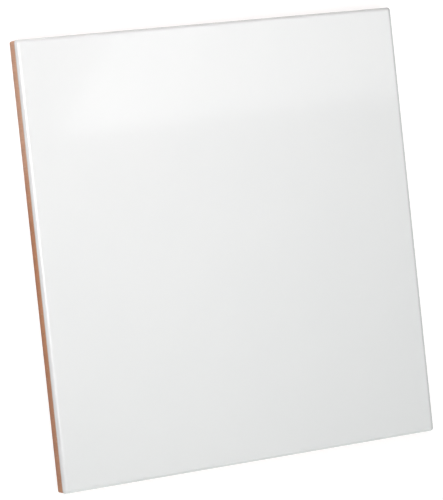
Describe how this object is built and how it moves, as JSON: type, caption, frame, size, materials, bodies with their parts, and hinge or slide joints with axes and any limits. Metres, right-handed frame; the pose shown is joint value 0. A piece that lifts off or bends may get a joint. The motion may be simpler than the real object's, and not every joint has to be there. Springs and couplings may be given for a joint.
{
  "type": "ceramic tile",
  "caption": "Square white glazed ceramic wall tile with a red clay body, softly rounded face edges and a ribbed back.",
  "frame": {"origin": "middle of the back, on the plane of its ribs", "axes": "+Z out of the glazed face, +Y towards the edge that is uppermost in the picture, +X towards the edge on its right"},
  "size_m": [0.2, 0.2, 0.007],
  "materials": {
    "glaze": "glossy white glaze",
    "clay_body": "bare fired red clay, matt"
  },
  "bodies": {
    "root": {"tile": "glaze"}
  },
  "joints": []
}
